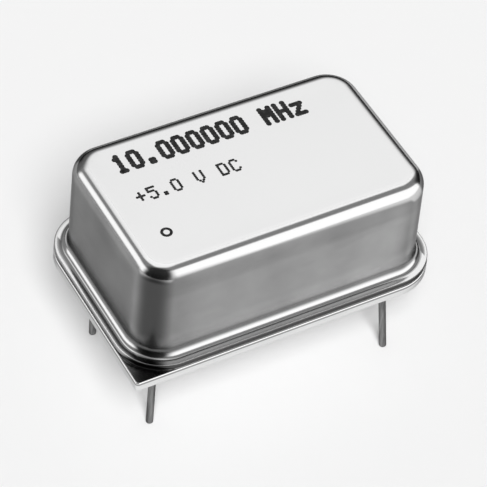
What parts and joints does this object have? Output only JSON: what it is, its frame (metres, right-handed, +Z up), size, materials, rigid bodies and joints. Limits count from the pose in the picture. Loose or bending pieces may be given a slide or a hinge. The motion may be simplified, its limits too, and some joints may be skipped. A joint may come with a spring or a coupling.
{
  "type": "crystal oscillator",
  "caption": "Oven-controlled crystal oscillator in a welded metal can with a flange and round pins on a dual-in-line grid.",
  "frame": {"origin": "middle of the pin grid, on the underside of the header", "axes": "+X along the can from the pin 1 end, +Y across it from the pin 1 side, +Z up through the can's top"},
  "size_m": [0.0204, 0.0132, 0.0147],
  "materials": {
    "nickel_can": "satin nickel-plated sheet",
    "nickel_header": "satin nickel-plated steel",
    "pin_plating": "dull tinned wire",
    "seal_glass": "dark fused glass",
    "braze": "brazing alloy",
    "polyimide": "amber film",
    "board_laminate": "green solder mask",
    "solder": "bright solder",
    "chip_moulding": "black moulding compound",
    "chip_ceramic": "fired ceramic with tinned ends",
    "resistor_chip": "black glazed chip with tinned ends",
    "tinned_wire": "tinned wire",
    "oven_ceramic": "white alumina",
    "copper": "bare copper sheet",
    "sensor_ceramic": "dark sintered ceramic",
    "holder_nickel": "nickel-plated steel",
    "quartz": "polished quartz with a metal film",
    "foam": "closed-cell foam"
  },
  "bodies": {
    "root": {"cover": "nickel_can", "header": "nickel_header", "pin_1": "pin_plating", "pin_7": "pin_plating", "pin_8": "pin_plating", "pin_14": "pin_plating", "glass_seal_1": "seal_glass", "glass_seal_8": "seal_glass", "glass_seal_14": "seal_glass", "ground_pin_braze": "braze", "base_pad": "polyimide", "control_board": "board_laminate", "solder_joints": "solder", "voltage_regulator": "chip_moulding", "heater_amplifier": "chip_moulding", "output_buffer": "chip_moulding", "board_capacitors": "chip_ceramic", "board_resistors": "resistor_chip", "oven_posts": "tinned_wire", "oven_board": "oven_ceramic", "heat_spreader": "copper", "heater_transistor": "chip_moulding", "thermistor": "sensor_ceramic", "oscillator_chip": "chip_moulding", "varactor_diode": "chip_moulding", "oven_capacitors": "chip_ceramic", "crystal_base": "holder_nickel", "crystal_beads": "seal_glass", "crystal_leads": "tinned_wire", "crystal_clips": "tinned_wire", "quartz_blank": "quartz", "crystal_cap": "holder_nickel", "top_pad": "foam"}
  },
  "joints": []
}
